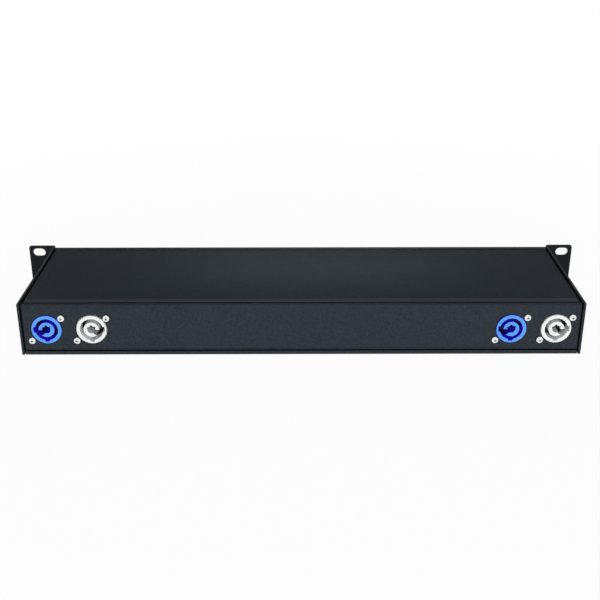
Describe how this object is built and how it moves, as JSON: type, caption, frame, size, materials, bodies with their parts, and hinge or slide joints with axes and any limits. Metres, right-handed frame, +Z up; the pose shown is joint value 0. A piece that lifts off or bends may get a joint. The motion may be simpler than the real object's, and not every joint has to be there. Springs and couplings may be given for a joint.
{
  "type": "network switch",
  "caption": "Flat rack-mount network switch for stage use: folded black steel housing with rack ears, twist-lock mains connectors behind and latching data ports in front.",
  "frame": {"origin": "on the underside, midway between the side plates and midway along them", "axes": "+Z up, -Y towards the front with the data ports, +Y towards the rear with the mains connectors, +X to the right seen from the front"},
  "size_m": [0.4826, 0.131, 0.0437],
  "materials": {
    "powder_black": "fine-textured matt black powder coat on folded steel",
    "inlet_blue": "moulded, semi-gloss blue",
    "outlet_grey": "moulded, semi-gloss light grey",
    "zinc": "bright zinc plate",
    "port_nickel": "satin nickel on a die casting",
    "jack_black": "moulded, matt black",
    "latch_steel": "plated spring steel",
    "clear_lens": "clear moulding, slightly green",
    "board_green": "green solder mask",
    "supply_metal": "plain sheet",
    "wire_black": "black insulation"
  },
  "bodies": {
    "housing": {"base_tray": "powder_black", "front_panel": "powder_black", "mains_inlet_a": "inlet_blue", "mains_inlet_a_screw_lower": "zinc", "mains_inlet_a_screw_upper": "zinc", "mains_inlet_b": "inlet_blue", "mains_inlet_b_screw_lower": "zinc", "mains_inlet_b_screw_upper": "zinc", "mains_outlet_a": "outlet_grey", "mains_outlet_a_screw_lower": "zinc", "mains_outlet_a_screw_upper": "zinc", "mains_outlet_b": "outlet_grey", "mains_outlet_b_screw_lower": "zinc", "mains_outlet_b_screw_upper": "zinc", "mains_wiring_a": "wire_black", "mains_wiring_b": "wire_black", "port_1_jack": "jack_black", "port_1_lamp": "clear_lens", "port_1_shell": "port_nickel", "port_2_jack": "jack_black", "port_2_lamp": "clear_lens", "port_2_shell": "port_nickel", "port_3_jack": "jack_black", "port_3_lamp": "clear_lens", "port_3_shell": "port_nickel", "port_4_jack": "jack_black", "port_4_lamp": "clear_lens", "port_4_shell": "port_nickel", "port_5_jack": "jack_black", "port_5_lamp": "clear_lens", "port_5_shell": "port_nickel", "port_6_jack": "jack_black", "port_6_lamp": "clear_lens", "port_6_shell": "port_nickel", "port_7_jack": "jack_black", "port_7_lamp": "clear_lens", "port_7_shell": "port_nickel", "port_8_jack": "jack_black", "port_8_lamp": "clear_lens", "port_8_shell": "port_nickel", "power_lamp_a": "clear_lens", "power_lamp_b": "clear_lens", "power_supply_a": "supply_metal", "power_supply_b": "supply_metal", "rear_panel": "powder_black", "side_plate_left": "powder_black", "side_plate_right": "powder_black", "supply_lead_a": "wire_black", "supply_lead_b": "wire_black", "switch_board_a": "board_green", "switch_board_b": "board_green", "top_cover": "powder_black"},
    "latch_1": {"port_1_latch": "latch_steel"},
    "latch_2": {"port_2_latch": "latch_steel"},
    "latch_3": {"port_3_latch": "latch_steel"},
    "latch_4": {"port_4_latch": "latch_steel"},
    "latch_5": {"port_5_latch": "latch_steel"},
    "latch_6": {"port_6_latch": "latch_steel"},
    "latch_7": {"port_7_latch": "latch_steel"},
    "latch_8": {"port_8_latch": "latch_steel"}
  },
  "joints": [
    {"name": "latch_1_press", "type": "hinge", "parent": "housing", "child": "latch_1", "pos_m": [-0.163, -0.0645, 0.03555], "axis": [1, 0, 0], "range_deg": [0, 12], "stiffness_Nm_per_rad": 0.02},
    {"name": "latch_2_press", "type": "hinge", "parent": "housing", "child": "latch_2", "pos_m": [-0.125, -0.0645, 0.03555], "axis": [1, 0, 0], "range_deg": [0, 12], "stiffness_Nm_per_rad": 0.02},
    {"name": "latch_3_press", "type": "hinge", "parent": "housing", "child": "latch_3", "pos_m": [-0.087, -0.0645, 0.03555], "axis": [1, 0, 0], "range_deg": [0, 12], "stiffness_Nm_per_rad": 0.02},
    {"name": "latch_4_press", "type": "hinge", "parent": "housing", "child": "latch_4", "pos_m": [-0.049, -0.0645, 0.03555], "axis": [1, 0, 0], "range_deg": [0, 12], "stiffness_Nm_per_rad": 0.02},
    {"name": "latch_5_press", "type": "hinge", "parent": "housing", "child": "latch_5", "pos_m": [0.049, -0.0645, 0.03555], "axis": [1, 0, 0], "range_deg": [0, 12], "stiffness_Nm_per_rad": 0.02},
    {"name": "latch_6_press", "type": "hinge", "parent": "housing", "child": "latch_6", "pos_m": [0.087, -0.0645, 0.03555], "axis": [1, 0, 0], "range_deg": [0, 12], "stiffness_Nm_per_rad": 0.02},
    {"name": "latch_7_press", "type": "hinge", "parent": "housing", "child": "latch_7", "pos_m": [0.125, -0.0645, 0.03555], "axis": [1, 0, 0], "range_deg": [0, 12], "stiffness_Nm_per_rad": 0.02},
    {"name": "latch_8_press", "type": "hinge", "parent": "housing", "child": "latch_8", "pos_m": [0.163, -0.0645, 0.03555], "axis": [1, 0, 0], "range_deg": [0, 12], "stiffness_Nm_per_rad": 0.02}
  ]
}
